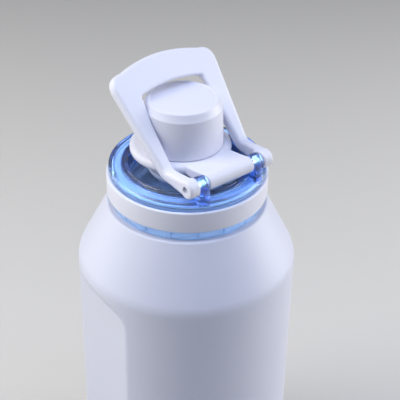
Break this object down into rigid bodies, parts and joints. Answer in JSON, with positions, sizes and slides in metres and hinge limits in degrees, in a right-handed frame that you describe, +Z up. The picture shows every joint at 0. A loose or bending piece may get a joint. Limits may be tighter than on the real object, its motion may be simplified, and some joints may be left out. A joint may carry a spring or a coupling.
{
  "type": "large water jug",
  "caption": "Large double-walled steel water jug with flat grip panels, a clear screw lid, a drinking spout under a flip cap, and a swinging carry handle.",
  "frame": {"origin": "centre of the base pad's underside, on the jug's upright axis", "axes": "+Z up along the jug, hinge of the cap and handle on the -Y side with its pins along X"},
  "size_m": [0.124, 0.124, 0.3042],
  "materials": {
    "powder_coat": "satin periwinkle powder coat with a fine pebbled grain",
    "moulded_plastic": "satin moulded plastic, periwinkle",
    "pale_plastic": "smooth food-grade plastic, paler periwinkle",
    "clear_blue_plastic": "glossy see-through plastic tinted blue",
    "brushed_steel": "brushed stainless steel",
    "polished_steel": "polished stainless steel",
    "silicone": "matt silicone",
    "solder": "dull grey sealing metal"
  },
  "bodies": {
    "bottle": {"outer_shell": "powder_coat", "inner_liner": "brushed_steel", "base_plate": "brushed_steel", "vacuum_seal_bead": "solder", "getter_pellet": "solder", "base_pad": "silicone"},
    "gasket": {"lid_gasket": "silicone"},
    "lid": {"lid_body": "clear_blue_plastic", "collar_band": "moulded_plastic", "lid_core": "clear_blue_plastic", "lid_underside": "clear_blue_plastic", "spout": "pale_plastic", "spout_seal": "silicone", "hinge_pin_left": "polished_steel", "hinge_pin_right": "polished_steel"},
    "flip_cap": {"cap_flap": "moulded_plastic", "spout_cap": "moulded_plastic", "cap_insert": "pale_plastic", "cap_seal": "silicone"},
    "carry_handle": {"handle": "moulded_plastic"}
  },
  "joints": [
    {"name": "lid_lift", "type": "slide", "parent": "bottle", "child": "gasket", "axis": [0, 0, 1], "range_m": [0, 0.008]},
    {"name": "lid_turn", "type": "hinge", "parent": "gasket", "child": "lid", "pos_m": [0, 0, 0.238], "axis": [0, 0, 1], "range_deg": [0, 360]},
    {"name": "cap_open", "type": "hinge", "parent": "lid", "child": "flip_cap", "pos_m": [0, -0.0336, 0.2581], "axis": [1, 0, 0], "range_deg": [0, 110]},
    {"name": "handle_swing", "type": "hinge", "parent": "flip_cap", "child": "carry_handle", "pos_m": [0, -0.0336, 0.2581], "axis": [1, 0, 0], "range_deg": [0, 90]}
  ],
  "couplings": [
    {"joint": "lid_lift", "follows": "lid_turn", "m_per_rad": 0.001273}
  ]
}
